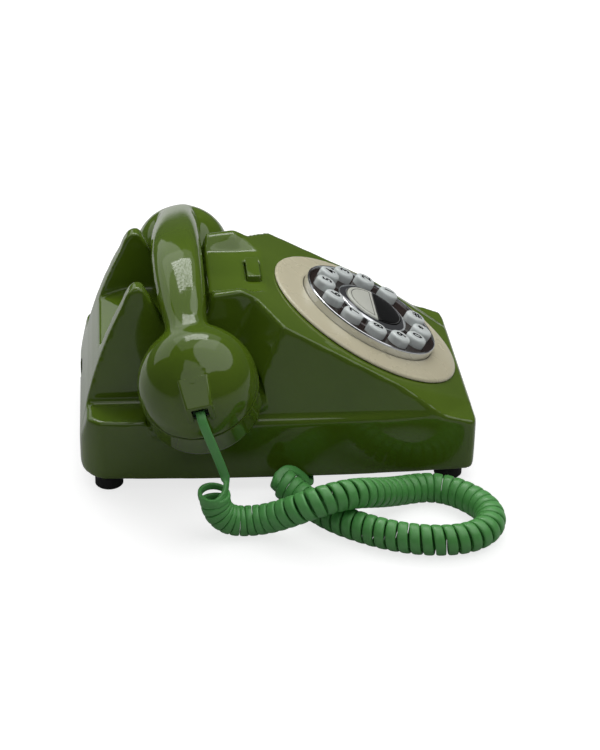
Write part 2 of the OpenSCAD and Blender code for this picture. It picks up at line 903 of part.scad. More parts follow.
case_shell();
base_plate();
rubber_feet();
base_screws();
dial_plate();
keypad_bezel();
keypad_face();
key_1();
key_2();
key_3();
key_4();
key_5();
key_6();
key_7();
key_8();
key_9();
key_0();
key_star();
key_hash();
hub_ring();
hub_cream_button();
hub_black_button();
key_mat();
keypad_board();
keypad_screws();
recall_button();
recall_switch();
hook_plungers();
hook_bar();
hook_switch();
main_board();
sounder();
ballast_plate();
line_socket();
cord_socket();
handset_shell();
mouthpiece_cap();
earpiece_cap();
microphone();
receiver();
handset_socket();
plug_handset();
plug_base();
handset_cord();
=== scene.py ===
# %% [markdown]
# # A desk telephone with push keys set round a dial
# The solids of the telephone come from a CAD model and are loaded first as a fixed frame. Each cell
# after that dresses one piece: the cord, the finishes, the moulded case, the handset, the keys.
# Everything is in metres, so a small helper turns the millimetres of a drawing into metres.

# %% Load the frame
import json
import math

import bmesh
import bpy
import numpy as np
from mathutils import Matrix, Vector


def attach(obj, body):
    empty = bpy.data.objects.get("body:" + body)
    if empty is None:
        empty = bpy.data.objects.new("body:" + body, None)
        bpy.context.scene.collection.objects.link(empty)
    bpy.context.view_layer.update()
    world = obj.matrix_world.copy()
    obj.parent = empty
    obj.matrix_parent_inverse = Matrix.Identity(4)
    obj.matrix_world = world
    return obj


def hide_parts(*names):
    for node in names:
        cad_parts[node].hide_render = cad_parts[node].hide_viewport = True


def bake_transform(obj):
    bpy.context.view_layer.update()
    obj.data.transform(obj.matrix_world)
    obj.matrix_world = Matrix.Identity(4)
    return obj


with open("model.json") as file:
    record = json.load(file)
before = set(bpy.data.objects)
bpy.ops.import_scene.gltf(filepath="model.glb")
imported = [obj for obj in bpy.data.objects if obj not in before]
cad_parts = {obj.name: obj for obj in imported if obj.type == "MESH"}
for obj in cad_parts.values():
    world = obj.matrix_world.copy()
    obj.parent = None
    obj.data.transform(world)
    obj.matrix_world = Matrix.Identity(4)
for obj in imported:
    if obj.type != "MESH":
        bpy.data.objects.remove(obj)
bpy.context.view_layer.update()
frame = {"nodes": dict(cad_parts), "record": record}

MM = 0.001
nodes = frame["nodes"]

# %% [markdown]
# ## Camera
# The picture was taken with a long lens from the left side, a little above the telephone. The place
# of the camera, its target and a slight roll are set as numbers, and the rotation is built from them.
# A matrix made of right, up and back vectors is clearer than three angles, so that is used here.

# %% Camera
IMAGE_TALL = 750
FOCAL_PIXELS = 2085.4
SENSOR = 36.0
camera_place = Vector((-1.0176, 0.0832, 0.5709))
camera_target = Vector((0.0, -0.01638, 0.03164))
camera_roll = math.radians(1.23)

camera_data = bpy.data.cameras.new("camera")
camera_data.sensor_width = SENSOR
camera_data.lens = FOCAL_PIXELS * SENSOR / IMAGE_TALL
camera = bpy.data.objects.new("camera", camera_data)
bpy.context.scene.collection.objects.link(camera)
forward = (camera_target - camera_place).normalized()
level_right = forward.cross(Vector((0, 0, 1))).normalized()
level_up = level_right.cross(forward)
right = math.cos(camera_roll) * level_right + math.sin(camera_roll) * level_up
up = right.cross(forward)
turn = Matrix((right, up, -forward)).transposed().to_4x4()
camera.matrix_world = Matrix.Translation(camera_place) @ turn
bpy.context.scene.camera = camera
print("lens in mm:", round(camera_data.lens, 1))

# %% [markdown]
# ## The two frames that pieces are placed in
# Keys and hub lie on the sloping dial face, and the cups lie on the leaning handset. Each has its
# own frame: a matrix that carries points from the piece's own axes to the telephone's.

# %% Frames of the dial and of the handset
HALF_DEPTH = 105.0
FRONT_HEIGHT = 36.0
DIAL_SLOPE = math.radians(28.5)
DIAL_IN = 53.5
CUP_X, CUP_Y, CUP_Z = 78.0, 43.5, 69.2
CUP_R = 31.0
EAR_R = 27.4
EAR_OFFSET = (5.0, 1.7, 1.1)
CUP_TURN = math.radians(30)
LEAN_BACK = math.radians(12.5)
SEAM_Z = -3.0
LUG_U = 27.8
SOCKET_Z = 17.0


def move(x, y, z):
    return Matrix.Translation((x * MM, y * MM, z * MM))


dial_frame = move(0, DIAL_IN - HALF_DEPTH, FRONT_HEIGHT + math.tan(DIAL_SLOPE) * DIAL_IN)
dial_frame = dial_frame @ Matrix.Rotation(DIAL_SLOPE, 4, "X")
handset_frame = move(0, CUP_Y, CUP_Z) @ Matrix.Rotation(-LEAN_BACK, 4, "X")
mouth_frame = handset_frame @ move(-CUP_X, 0, 0) @ Matrix.Rotation(-CUP_TURN, 4, "Y")
ear_frame = handset_frame @ move(CUP_X + EAR_OFFSET[0], EAR_OFFSET[1], EAR_OFFSET[2])
ear_frame = ear_frame @ Matrix.Rotation(CUP_TURN, 4, "Y")
print("mouth cup centre in mm:", [round(c / MM, 1) for c in mouth_frame.translation])

# %% [markdown]
# ## The curly cord
# A handset cord is a flat vinyl lead that was wound on a rod and heated, so it keeps its curls. It
# could be a curve with a bevel, but a bevel can't keep the flat side of the lead facing out of each
# curl. So the tube is made ring by ring: a middle line through listed points, a direction
# across it that is carried along without twisting, and a radius that turns round it.

# %% Route of the cord
CURLS = 62
CURL_R = 6.8
CORD_WIDTH = 4.7
CORD_THICK = 2.2
RINGS_PER_CURL = 24
TABLE_Z = 7.8
SOCKET_IN = (-57.0, -16.0, 6.0)

curl_line = [
    (-113, 37, 27), (-114, 36.5, 17), (-114, 31, 10), (-113, 23, TABLE_Z), (-114, 13, 9),
    (-117, 4, 13), (-121, -5, 19), (-122, -15, 23.5), (-119, -26, 25), (-115, -36, 24),
    (-107, -45, 19), (-97, -53, 13), (-89, -63, 9), (-84, -75, TABLE_Z), (-87, -87, TABLE_Z),
    (-95, -96, TABLE_Z), (-106, -104, TABLE_Z), (-119, -106, TABLE_Z), (-130, -100, TABLE_Z),
    (-136, -89, TABLE_Z), (-137, -76, TABLE_Z), (-135, -63, TABLE_Z), (-130, -50, TABLE_Z),
    (-124, -40, TABLE_Z), (-117, -30, TABLE_Z), (-108, -21, TABLE_Z), (-98, -14, TABLE_Z),
    (-91, -8, 9), (-86, -2, 12), (-83, 3, 15),
]
cord_start = mouth_frame @ Vector(((-LUG_U + 0.6) * MM, 0, SOCKET_Z * MM)) / MM
cord_out = mouth_frame @ Vector(((-LUG_U - 4) * MM, 0, SOCKET_Z * MM)) / MM
lead_line = [
    tuple(cord_start), tuple(cord_out), (-115.2, 41.0, 62), (-113, 36.8, 50), (-110.4, 33.2, 39),
    (-109, 30.9, 31), (-110, 30.3, 27.5),
]
tail_line = [
    (-80, 1, 19), (-76.5, -5, 17.5), (-75, -11, 12), (-74, SOCKET_IN[1] + 1, 6.5),
    (-70, SOCKET_IN[1], 4.4), (-62, SOCKET_IN[1], SOCKET_IN[2]),
    (SOCKET_IN[0] + 0.6, SOCKET_IN[1], SOCKET_IN[2]),
]


def along(points, count):
    """count + 1 places on a smooth line from the first point to the last, close to the others."""
    p = np.array(points, float)
    p = np.concatenate([[2 * p[0] - p[1]], p, [2 * p[-1] - p[-2]]])
    t = np.linspace(0, len(points) - 1, count + 1)
    i = np.minimum(t.astype(int), len(points) - 2)
    u = (t - i)[:, None]
    weights = ((1 - u) ** 3, 3 * u**3 - 6 * u**2 + 4, 1 + 3 * u + 3 * u**2 - 3 * u**3, u**3)
    return sum(w * p[i + k] for k, w in enumerate(weights)) / 6


def unit(v):
    return v / np.linalg.norm(v, axis=-1, keepdims=True)


def smooth_step(t):
    t = np.clip(t, 0, 1)
    return t * t * (3 - 2 * t)


print("points of the cord's route:", len(lead_line) + len(curl_line) + len(tail_line))

# %% [markdown]
# ## How close the curls lie
# The curls of a used cord aren't even. They crowd in a bend and near the handset's end. One could
# place each curl by hand, but a density along the line is easier to change: the line is cut into many
# short steps, each step is weighted, and the rings are spread evenly over the sum of the weights.

# %% Spacing of the curls
FINE_STEPS = 1200
BEND_CROWDING, BEND_MOST = 0.4, 0.8
START_CROWDING, START_REACH = 0.5, 32
fine = along(curl_line, FINE_STEPS)
fine_step = np.linalg.norm(np.diff(fine, axis=0), axis=1)
fine_place = np.concatenate([[0], np.cumsum(fine_step)])
fine_dir = unit(np.gradient(fine, fine_place, axis=0))
fine_bend = np.gradient(fine_dir, fine_place, axis=0)
bend_size = np.linalg.norm(fine_bend, axis=1)
crowding = 1 + BEND_CROWDING * np.minimum(bend_size * CURL_R, BEND_MOST)
crowding *= 1 + START_CROWDING * np.exp(-((fine_place / START_REACH) ** 2))
share = np.concatenate([[0], np.cumsum(fine_step * (crowding[1:] + crowding[:-1]) / 2)])
ring_count = CURLS * RINGS_PER_CURL
even = np.linspace(0, share[-1], ring_count + 1)


def along_curls(values):
    """Values of the fine line, read at the even places of the rings."""
    return np.stack([np.interp(even, share, values[:, k]) for k in range(values.shape[1])], axis=1)


axis_line = along_curls(fine)
axis_dir = unit(along_curls(fine_dir))
axis_bend = along_curls(fine_bend)
axis_step = share[-1] / CURLS / along_curls(crowding[:, None])[:, 0]
print("middle line of the curls in mm:", round(fine_place[-1]))
print("advance of one curl in mm:", axis_step.min().round(1), "to", axis_step.max().round(1))

# %% [markdown]
# ## Winding the curls
# Each ring lies at the curl's radius from the middle line, a little further round than the last one.
# The first curl hangs looser and leans, because the lead pulls on it. On the inside of a bend there is
# less room, so the ribbon is drawn narrower there and neighbours stay clear of each other.

# %% Curls of the cord
LAST_CURL = 0.6
LOOSE_CURLS = 1.6
FIRST_GROWTH = 0.12
FIRST_LEAN = 3.2
ROOM_SHARE = 0.95
NARROWEST, WIDEST = 2.4, CORD_WIDTH + 0.5
first_side = np.array((0.0, -1.0, 0.0))
across = [unit(first_side - (first_side @ axis_dir[0]) * axis_dir[0])]
for direction in axis_dir[1:]:
    carried = across[-1] - (across[-1] @ direction) * direction
    across.append(unit(carried))
across = np.array(across)
ring_number = np.arange(ring_count + 1)
angle = (2 * math.pi / RINGS_PER_CURL * ring_number)[:, None]
outward = np.cos(angle) * across + np.sin(angle) * np.cross(axis_dir, across)
left = (ring_count - ring_number) / RINGS_PER_CURL
grown = CURL_R * smooth_step(left / LAST_CURL)[:, None]
loose = (1 - smooth_step(ring_number / RINGS_PER_CURL / LOOSE_CURLS))[:, None]
grown *= 1 + FIRST_GROWTH * loose
curl_points = axis_line + grown * outward - FIRST_LEAN * loose * outward[:, :1] * axis_dir
curl_points = curl_points[1:-1]
room = axis_step * (1 - CURL_R * (outward * axis_bend).sum(1))
curl_width = np.clip(ROOM_SHARE * room, NARROWEST, WIDEST)[1:-1]
print("width of the curled ribbon in mm:", curl_width.min().round(1), "to", curl_width.max().round(1))

# %% [markdown]
# ## Lead and tail
# A straight lead hangs from the handset, and a short tail runs into the case. Three lists are joined
# for the whole cord: its points, its width and the way its flat side faces. Lists of numbers are
# easier to join than separate tubes, and the cord stays one piece.

# %% Lead and tail
LEAD_STEPS, TAIL_STEPS = 48, 42
LEAD_FLAT = 3
FLAT_OUT = np.array((-0.95, 0.1, 0.3))
lead_points = along(lead_line, LEAD_STEPS)
tail_points = along(tail_line, TAIL_STEPS)
lead_share = smooth_step(np.linspace(-LEAD_FLAT, 1, len(lead_points)))[:, None]
cord_points = np.concatenate([lead_points, curl_points, tail_points])
cord_width = np.concatenate([
    np.full(len(lead_points), CORD_WIDTH), curl_width, np.full(len(tail_points), CORD_WIDTH),
])
cord_faces_out = np.concatenate([
    (1 - lead_share) * FLAT_OUT + lead_share * outward[0],
    outward[1:-1],
    np.repeat(outward[-1:], len(tail_points), axis=0),
])
print("points of the cord:", len(cord_points))

# %% [markdown]
# ## Softer joins
# Where the straight ends meet the curls the line would kink, and a real lead bends gently there.
# Averaging each point with its neighbours, most at the join, takes most of the kink out. It reaches
# further along the straight ends than into the curls, so the curls keep their size.

# %% Soften the places where the lead and the tail meet the curls
CURL_REACH, STRAIGHT_REACH = 6, 12
SOFT_ROUNDS = 15
place_of = np.arange(len(cord_points))
first_join, last_join = len(lead_points), len(lead_points) + len(curl_points)
in_curls = (place_of >= first_join) & (place_of < last_join)
reach = np.where(in_curls, CURL_REACH, STRAIGHT_REACH)
near_join = np.zeros(len(cord_points))
for join in (first_join, last_join):
    near_join = np.maximum(near_join, 1 - np.abs(place_of - join) / reach)
near_join = smooth_step(near_join)[:, None]
for _ in range(SOFT_ROUNDS):
    for line in (cord_points, cord_faces_out):
        middle = (line[:-2] + line[2:]) / 2
        line[1:-1] += near_join[1:-1] * (middle - line[1:-1])
steps = np.diff(cord_points, axis=0)
chords = np.linalg.norm(cord_points[2:] - cord_points[:-2], axis=1)
turning = np.linalg.norm(np.cross(unit(steps[:-1]), unit(steps[1:])), axis=1)
tightest_bend = (chords / (2 * np.maximum(turning, 1e-9))).min()
print("tightest bend, as a radius in mm:", tightest_bend.round(1))

# %% [markdown]
# ## From a line to a tube
# The ribbon's section is a box with soft corners: a circle whose cosines and sines are raised to a
# power. It is set up across the line at each point, with its flat side outward. Two helpers list the
# faces between rings and at the ends, and later pieces use them again. When the handset is lifted,
# only the straight lead has to stretch, so the blend between the two bodies lies along the lead.

# %% Tube of the cord
SECTION_POINTS = 16
SECTION_POWER = 3.2
FACING_LEAST = 0.2
TABLE_GAP = 0.05
SHARP_FROM = math.radians(40)
section_angle = 2 * math.pi / SECTION_POINTS * (np.arange(SECTION_POINTS) + 0.5)


def rounded(values, power):
    """Turns a circle's cosines or sines into those of a box with soft corners."""
    return np.sign(values) * np.abs(values) ** (2 / power)


section_out = rounded(np.cos(section_angle), SECTION_POWER) * CORD_THICK / 2
section_side = rounded(np.sin(section_angle), SECTION_POWER) / 2
heading = unit(np.gradient(cord_points, axis=0))
facing = cord_faces_out - (cord_faces_out * heading).sum(1, keepdims=True) * heading
for i in range(1, len(facing)):
    if np.linalg.norm(facing[i]) < FACING_LEAST:
        facing[i] = facing[i - 1]
facing = unit(facing)
sideways = np.cross(heading, facing)
rings = (
    cord_points[:, None]
    + section_out[None, :, None] * facing[:, None]
    + (cord_width[:, None] * section_side)[..., None] * sideways[:, None]
)
rings[..., 2] = np.maximum(rings[..., 2], TABLE_GAP)


def mesh_piece(name, verts, faces, smooth=True):
    mesh = bpy.data.meshes.new(name)
    mesh.from_pydata([tuple(v) for v in verts], [], faces)
    mesh.polygons.foreach_set("use_smooth", [smooth] * len(mesh.polygons))
    mesh.update()
    mesh.set_sharp_from_angle(angle=SHARP_FROM)
    piece = bpy.data.objects.new(name, mesh)
    bpy.context.scene.collection.objects.link(piece)
    return piece


def ring_faces(rows, count):
    """Quads between each ring of points and the next one."""
    faces = []
    for r in range(rows - 1):
        for k in range(count):
            a, b = r * count + k, r * count + (k + 1) % count
            faces.append((a, b, b + count, a + count))
    return faces


def end_faces(rows, count):
    """The two faces that close the first and the last ring."""
    last = (rows - 1) * count
    return [tuple(range(count))[::-1], tuple(last + k for k in range(count))]


cord_mesh_faces = ring_faces(len(rings), SECTION_POINTS) + end_faces(len(rings), SECTION_POINTS)
curly_cord = mesh_piece("curly_cord", rings.reshape(-1, 3) * MM, cord_mesh_faces)
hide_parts("handset_cord")
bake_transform(curly_cord)
print("cord faces:", len(curly_cord.data.polygons))

# %% [markdown]
# ## Finishes
# Each finish is named for the real material. Colours are written as sRGB hex values, as a picture
# editor shows them, and one function turns them to the linear values that a shader needs. One small
# function adds a node, sets its sockets and links it. Patterns are sized in millimetres: a noise
# texture on object coordinates in metres has a scale of 1 / size.

# %% Helpers for finishes


def colour(hex_text):
    parts = [int(hex_text[i:i + 2], 16) / 255 for i in (1, 3, 5)]
    linear = [c / 12.92 if c <= 0.04045 else ((c + 0.055) / 1.055) ** 2.4 for c in parts]
    return (*linear, 1.0)


def per_mm(size):
    """Noise scale whose features are about size millimetres wide."""
    return 1.0 / (size * MM)


def add(tree, kind, links=None, **settings):
    """Adds a node. Settings go to its properties or sockets, and links join sockets of other nodes."""
    node = tree.nodes.new(kind)
    for key, value in settings.items():
        if hasattr(node, key):
            setattr(node, key, value)
        else:
            node.inputs[key.replace("_", " ")].default_value = value
    for key, source in (links or {}).items():
        tree.links.new(source, node.inputs[key])
    return node


def finish_material(name, base, metallic=0.0, ior=1.5, coat=0.0):
    """A material with its shader, ready for patterns. Returns the material, tree and shader."""
    material = bpy.data.materials.new(name)
    material.use_nodes = True
    tree = material.node_tree
    shader = tree.nodes["Principled BSDF"]
    shader.inputs["Base Color"].default_value = base
    shader.inputs["Metallic"].default_value = metallic
    shader.inputs["IOR"].default_value = ior
    shader.inputs["Coat Weight"].default_value = coat
    return material, tree, shader


def grain(tree, size, detail=2.0):
    """Noise with features of that size in millimetres, in the piece's own coordinates."""
    place = add(tree, "ShaderNodeTexCoord")
    return add(
        tree, "ShaderNodeTexNoise", {"Vector": place.outputs["Object"]},
        Scale=per_mm(size), Detail=detail,
    )


def spread(tree, source, low, high):
    """Spreads a noise over low to high."""
    return add(
        tree, "ShaderNodeMapRange", {"Value": source},
        From_Min=0.35, From_Max=0.65, To_Min=low, To_Max=high,
    )


def tint(tree, shader, source, dark, light):
    """Colours the surface between two close tones, by a noise."""
    # A Mix node has sockets for each data type. The colour ones are inputs 6 and 7 and output 2
    mix = add(tree, "ShaderNodeMix", data_type="RGBA")
    mix.inputs[6].default_value = dark
    mix.inputs[7].default_value = light
    tree.links.new(source, mix.inputs[0])
    tree.links.new(mix.outputs[2], shader.inputs["Base Color"])


def ripple(tree, shader, source, depth):
    """A shallow relief, depth in millimetres."""
    bump = add(tree, "ShaderNodeBump", {"Height": source}, Strength=1.0, Distance=depth * MM)
    tree.links.new(bump.outputs["Normal"], shader.inputs["Normal"])


# %% [markdown]
# ## Plastics
# Most of the telephone is injection moulded ABS. Its colour runs through it, so wear shows as changes
# of gloss rather than of colour. Two close tones keep a large face from looking painted, a smudge
# pattern varies the roughness, and a very shallow ripple bends the reflections as a mould does.

# %% Plastics
CLOUD_SIZE, SMUDGE_SIZE, PEEL_SIZE = 45, 18, 6.0


def moulded_plastic(name, dark, light, rough, peel=0.004):
    """Injection moulded ABS: an even colour, a clear gloss, and a faint ripple from the mould."""
    material, tree, shader = finish_material(name, colour(light), ior=1.53)
    cloud = spread(tree, grain(tree, CLOUD_SIZE).outputs["Fac"], 0, 1)
    tint(tree, shader, cloud.outputs["Result"], colour(dark), colour(light))
    smudge = grain(tree, SMUDGE_SIZE, detail=4.0)
    gloss = spread(tree, smudge.outputs["Fac"], rough[0], rough[1])
    tree.links.new(gloss.outputs["Result"], shader.inputs["Roughness"])
    if peel:
        ripple(tree, shader, grain(tree, PEEL_SIZE, detail=0.0).outputs["Fac"], peel)
    return material


finishes = {
    # Olive green with a wet gloss, for case and handset
    "green_plastic": moulded_plastic("moulded_green_abs", "#56701a", "#5e781f", (0.04, 0.09)),
    # Deep black that shows only its reflections
    "black_plastic": moulded_plastic("moulded_black_abs", "#080808", "#0d0d0d", (0.06, 0.12)),
    # Warm cream with a satin surface that blurs the keys' reflections
    "cream_plastic": moulded_plastic(
        "moulded_cream_abs", "#d8d0b1", "#ddd6b8", (0.26, 0.29), peel=0.0
    ),
    # Cooler and shinier than the cream disc, for the upper hub button
    "ivory_plastic": moulded_plastic("moulded_ivory_abs", "#d8dace", "#dfe1d6", (0.14, 0.22)),
    # Clean bluish white of the keys
    "white_plastic": moulded_plastic("moulded_white_abs", "#e0e7e5", "#e7edeb", (0.16, 0.24)),
    # Nearly black brown behind the keys
    "brown_plastic": moulded_plastic("moulded_brown_abs", "#291c18", "#30221c", (0.05, 0.10)),
    # Brighter green with a soft sheen, for the flexible cord
    "green_cord": moulded_plastic("soft_green_vinyl", "#61ae5b", "#69b865", (0.30, 0.42), peel=0.01),
    # Smoky plug bodies
    "clear_plastic": moulded_plastic("smoky_polycarbonate", "#1b1f1b", "#242924", (0.10, 0.2)),
}
print("plastics:", len(finishes))

# %% [markdown]
# ## Rubber, metal and board
# Rubber feet are matt, plated pieces are bright, and the boards inside carry a green lacquer. Few of
# these show, but the part is also looked at taken apart, so each gets a finish of its own.

# %% Rubber, metal and board


def cast_rubber(name, dark, light):
    """Moulded rubber: matt, with a fine skin that scatters the light."""
    material, tree, shader = finish_material(name, colour(light), ior=1.52)
    shader.inputs["Roughness"].default_value = 0.75
    cloud = grain(tree, 6, detail=5.0)
    tint(tree, shader, cloud.outputs["Fac"], colour(dark), colour(light))
    ripple(tree, shader, grain(tree, 0.6).outputs["Fac"], 0.03)
    return material


def plated_metal(name, base, rough, size):
    """Plated metal: bright, with slight waves in the plating and fine handling marks."""
    material, tree, shader = finish_material(name, colour(base), metallic=1.0)
    marks = grain(tree, size, detail=4.0)
    gloss = spread(tree, marks.outputs["Fac"], rough[0], rough[1])
    tree.links.new(gloss.outputs["Result"], shader.inputs["Roughness"])
    ripple(tree, shader, grain(tree, size * 3).outputs["Fac"], 0.004)
    return material


def board_laminate(name, dark, light):
    """Glass laminate under a green lacquer, with copper runs that show as darker lines."""
    material, tree, shader = finish_material(name, colour(light), ior=1.55)
    shader.inputs["Roughness"].default_value = 0.35
    place = add(tree, "ShaderNodeTexCoord")
    runs = add(
        tree, "ShaderNodeTexBrick", {"Vector": place.outputs["Object"]},
        Scale=per_mm(9), Mortar_Size=0.06,
        Color1=colour(light), Color2=colour(light), Mortar=colour(dark),
    )
    tree.links.new(runs.outputs["Color"], shader.inputs["Base Color"])
    return material


finishes["black_rubber"] = cast_rubber("moulded_black_rubber", "#0a0a0a", "#151515")
finishes["silicone_rubber"] = cast_rubber("grey_silicone", "#b4b3ab", "#c2c1b8")
finishes["steel"] = plated_metal("zinc_plated_steel", "#b8babd", (0.25, 0.4), 4)
finishes["chrome"] = plated_metal("chrome_plated_abs", "#d8dadd", (0.04, 0.1), 7)
finishes["circuit_board"] = board_laminate("board_laminate", "#0f3d22", "#1c5a35")


def dress(piece, slot_name):
    piece.data.materials.clear()
    piece.data.materials.append(finishes[slot_name])
    return piece


dress(curly_cord, "green_cord")
for part in frame["record"]["subparts"]:
    dress(nodes[part["node"]], part["material_slot"])
print("finishes:", sorted(m.name for m in finishes.values()))

# %% [markdown]
# ## Soft edges of moulded pieces
# A CAD solid has knife edges, and a moulded case has none. A bevel would have to cope with dozens of
# faces that meet at odd angles. A voxel remesh gives the same form an even skin of small quads, and
# the Smooth modifier then melts every edge by the same amount, inside corners too. A vertex group
# says how much, so that slots and seams stay crisp.

# %% Helpers for skins and places


def freeze(piece):
    """Makes the result of the modifiers the piece's own mesh."""
    bpy.context.view_layer.update()
    shown = piece.evaluated_get(bpy.context.evaluated_depsgraph_get())
    mesh = bpy.data.meshes.new_from_object(shown)
    piece.modifiers.clear()
    piece.data = mesh


def even_skin(piece, voxel):
    """Gives the piece a skin of even quads, and joins forms that overlap."""
    skin = piece.modifiers.new("skin", "REMESH")
    skin.mode = "VOXEL"
    skin.voxel_size = voxel * MM
    freeze(piece)


def vertex_places(piece):
    places = np.zeros(len(piece.data.vertices) * 3)
    piece.data.vertices.foreach_get("co", places)
    return places.reshape(-1, 3) / MM


def in_frame(points, matrix):
    """Points of the telephone, in millimetres, as seen from another frame."""
    m = np.array(matrix.inverted())
    return points @ m[:3, :3].T + m[:3, 3] / MM


def out_of_frame(points, matrix):
    """Points of another frame, in millimetres, carried back to the telephone."""
    m = np.array(matrix)
    return points @ m[:3, :3].T + m[:3, 3] / MM


def fade(distance, near, far):
    """0 up to near, 1 from far on."""
    return smooth_step((distance - near) / (far - near))


def box_distance(points, low, high):
    """Distance of points from a box, 0 inside it."""
    over = np.maximum(np.maximum(np.array(low) - points, points - np.array(high)), 0)
    return np.linalg.norm(over, axis=1)


# %% [markdown]
# ## Melting in rounds
# One helper makes every melted piece: it copies the CAD node, gives it the even skin, moves points
# where the piece needs another shape, and then smooths it in rounds. A second form can be added
# before the smoothing, and a new skin then joins the two.

# %% Helper that melts the edges of a CAD node
WELD_GAP = 0.01
WEIGHT_LEVELS = 20


def weld_and_add(mesh, other=None):
    """Joins points that lie on each other, or adds the faces of another mesh."""
    work = bmesh.new()
    work.from_mesh(mesh)
    if other is None:
        bmesh.ops.remove_doubles(work, verts=work.verts, dist=WELD_GAP * MM)
    else:
        work.from_mesh(other)
    work.to_mesh(mesh)
    work.free()


def melt_edges(piece, points, rounds, weight_of):
    """Smooths the piece once for each entry of rounds, as strongly as weight_of says at each point."""
    for k, count in enumerate(rounds):
        group = piece.vertex_groups.new(name=f"soft_{k}")
        level = np.round(np.clip(weight_of(points, k), 0, 1) * WEIGHT_LEVELS).astype(int)
        for step in range(1, WEIGHT_LEVELS + 1):
            chosen = np.nonzero(level == step)[0]
            if len(chosen):
                group.add(chosen.tolist(), step / WEIGHT_LEVELS, "REPLACE")
        melt = piece.modifiers.new(f"melt_{k}", "SMOOTH")
        melt.factor = 0.5
        melt.iterations = count
        melt.vertex_group = group.name
    freeze(piece)
    piece.vertex_groups.clear()


def melted(node_name, name, voxel, rounds, weight_of, reshape, grow=None):
    """A copy of a CAD node with an even skin and soft edges. voxel is in millimetres."""
    mesh = nodes[node_name].data.copy()
    weld_and_add(mesh)
    piece = bpy.data.objects.new(name, mesh)
    bpy.context.scene.collection.objects.link(piece)
    even_skin(piece, voxel)
    points = reshape(vertex_places(piece))
    piece.data.vertices.foreach_set("co", (points * MM).ravel())
    if grow is not None:
        weld_and_add(piece.data, grow.data)
        bpy.data.objects.remove(grow)
        even_skin(piece, voxel)
        points = vertex_places(piece)
    melt_edges(piece, points, rounds, weight_of)
    piece.data.polygons.foreach_set("use_smooth", [True] * len(piece.data.polygons))
    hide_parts(node_name)
    print(name, "faces:", len(piece.data.polygons))
    return piece


# %% [markdown]
# ## Case
# The case is one green moulding: a wedge with the dial on its slope, and a cradle with two horns. Two
# rounds of melting are used, a light one all over and a strong one near the foot only. Right at the
# recall button's slot, the line socket and the plungers nothing is melted, so they stay crisp. The
# horns are lifted and the cradle is dished by moving points before the melting.

# %% Case
CASE_VOXEL, CASE_ROUNDS = 1.25, (8, 24)
RECALL_BOX = ((-14.0, 5.5, 85.0), (14.0, 15.5, 104.0))
LINE_BOX = ((16.0, 90.0, 8.0), (34.0, 110.0, 30.0))
PLUNGERS = ((-36.0, 49.0), (36.0, 49.0))
CRISP_TO_SOFT = (0.5, 4)
PLUNGER_CRISP_TO_SOFT = (4, 6)
FOOT_TO_WALL = (12, 20)
HORN_FRONT, HORN_TIP, HORN_BACK = 14.0, 18.5, 34.0
HORN_LIFT = 2.3
HORN_HEIGHT, HORN_SIDE = (95, 100), (22, 30)
DISH_GAP = 1.0
DISH_LOW = -30.0
DISH_DEEPEST = 7.0


def shape_cradle(points):
    """The horns are highest near their front tips, and the recess is dished behind the cups."""
    x, y, z = points.T
    rise = np.interp(y, (HORN_FRONT, HORN_TIP, HORN_BACK), (0, HORN_LIFT, 0))
    points[:, 2] += rise * fade(z, *HORN_HEIGHT) * fade(np.abs(x), *HORN_SIDE)
    for cup, radius in ((mouth_frame, CUP_R), (ear_frame, EAR_R)):
        local = in_frame(points, cup)
        ring = np.hypot(local[:, 0], local[:, 1])
        gap = radius + DISH_GAP - ring
        inside = (gap > 0) & (ring > radius - DISH_DEEPEST)
        inside &= (local[:, 2] > DISH_LOW) & (local[:, 2] < 0)
        push = np.where(inside, gap / np.maximum(ring, 1), 0)
        local[:, :2] *= (1 + push)[:, None]
        points = out_of_frame(local, cup)
    return points


def case_softness(points, k):
    """How much each point may melt in round k."""
    weight = fade(box_distance(points, *RECALL_BOX), *CRISP_TO_SOFT)
    weight *= fade(box_distance(points, *LINE_BOX), *CRISP_TO_SOFT)
    for x, y in PLUNGERS:
        away = np.hypot(points[:, 0] - x, points[:, 1] - y)
        weight *= fade(away, *PLUNGER_CRISP_TO_SOFT)
    if k == 1:
        weight *= 1 - fade(points[:, 2], *FOOT_TO_WALL)
    return weight


case = melted("case_shell", "moulded_case", CASE_VOXEL, CASE_ROUNDS, case_softness, shape_cradle)
dress(case, "green_plastic")
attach(case, "base")

# %% [markdown]
# ## Handset
# The handset is two domed cups on a curved handle. The handle has a soft crown, narrows to a neck
# before the mouthpiece and flares into its dome. Its section changes all the way, so a tube with a
# section for each of a few stations says it best. The plain handle of the CAD node is drawn in first,
# the tube is joined to it by a second remesh, and the edges where they meet the cups are melted more.

# %% Handset shell
# Stations of the handle in millimetres: place along X, height, half width, half thickness
handle_stations = [
    (-92, 12.0, 14.0, 9.0), (-84, 17.5, 13.5, 10.0), (-73, 20.6, 11.2, 10.0), (-62, 22.2, 10.1, 10.0),
    (-45, 28.4, 12.2, 10.1), (-20, 34.8, 13.4, 10.3), (0, 36.3, 13.6, 10.3), (20, 34.9, 13.5, 10.3),
    (45, 29.8, 13.0, 10.1), (62, 25.8, 11.6, 10.0), (76, 21.6, 10.8, 10.3), (87, 18.2, 10.8, 10.4),
    (95, 14.2, 11.0, 10.4), (102, 8.5, 11.0, 10.0),
]
HANDLE_POWER = 3.0
CORE_WIDTH_SHARE = 0.8
CORE_DROP = 1.2
NECK_X, NECK_REACH, NECK_MORE = 64, 16, 0.14
HANDLE_STEPS, HANDLE_POINTS = 96, 36
LUG_LOW, LUG_HIGH = (-33.0, -8.5, 8.0), (-10.0, 8.5, 30.0)
HANDSET_VOXEL, HANDSET_ROUNDS = 0.9, (10, 60)


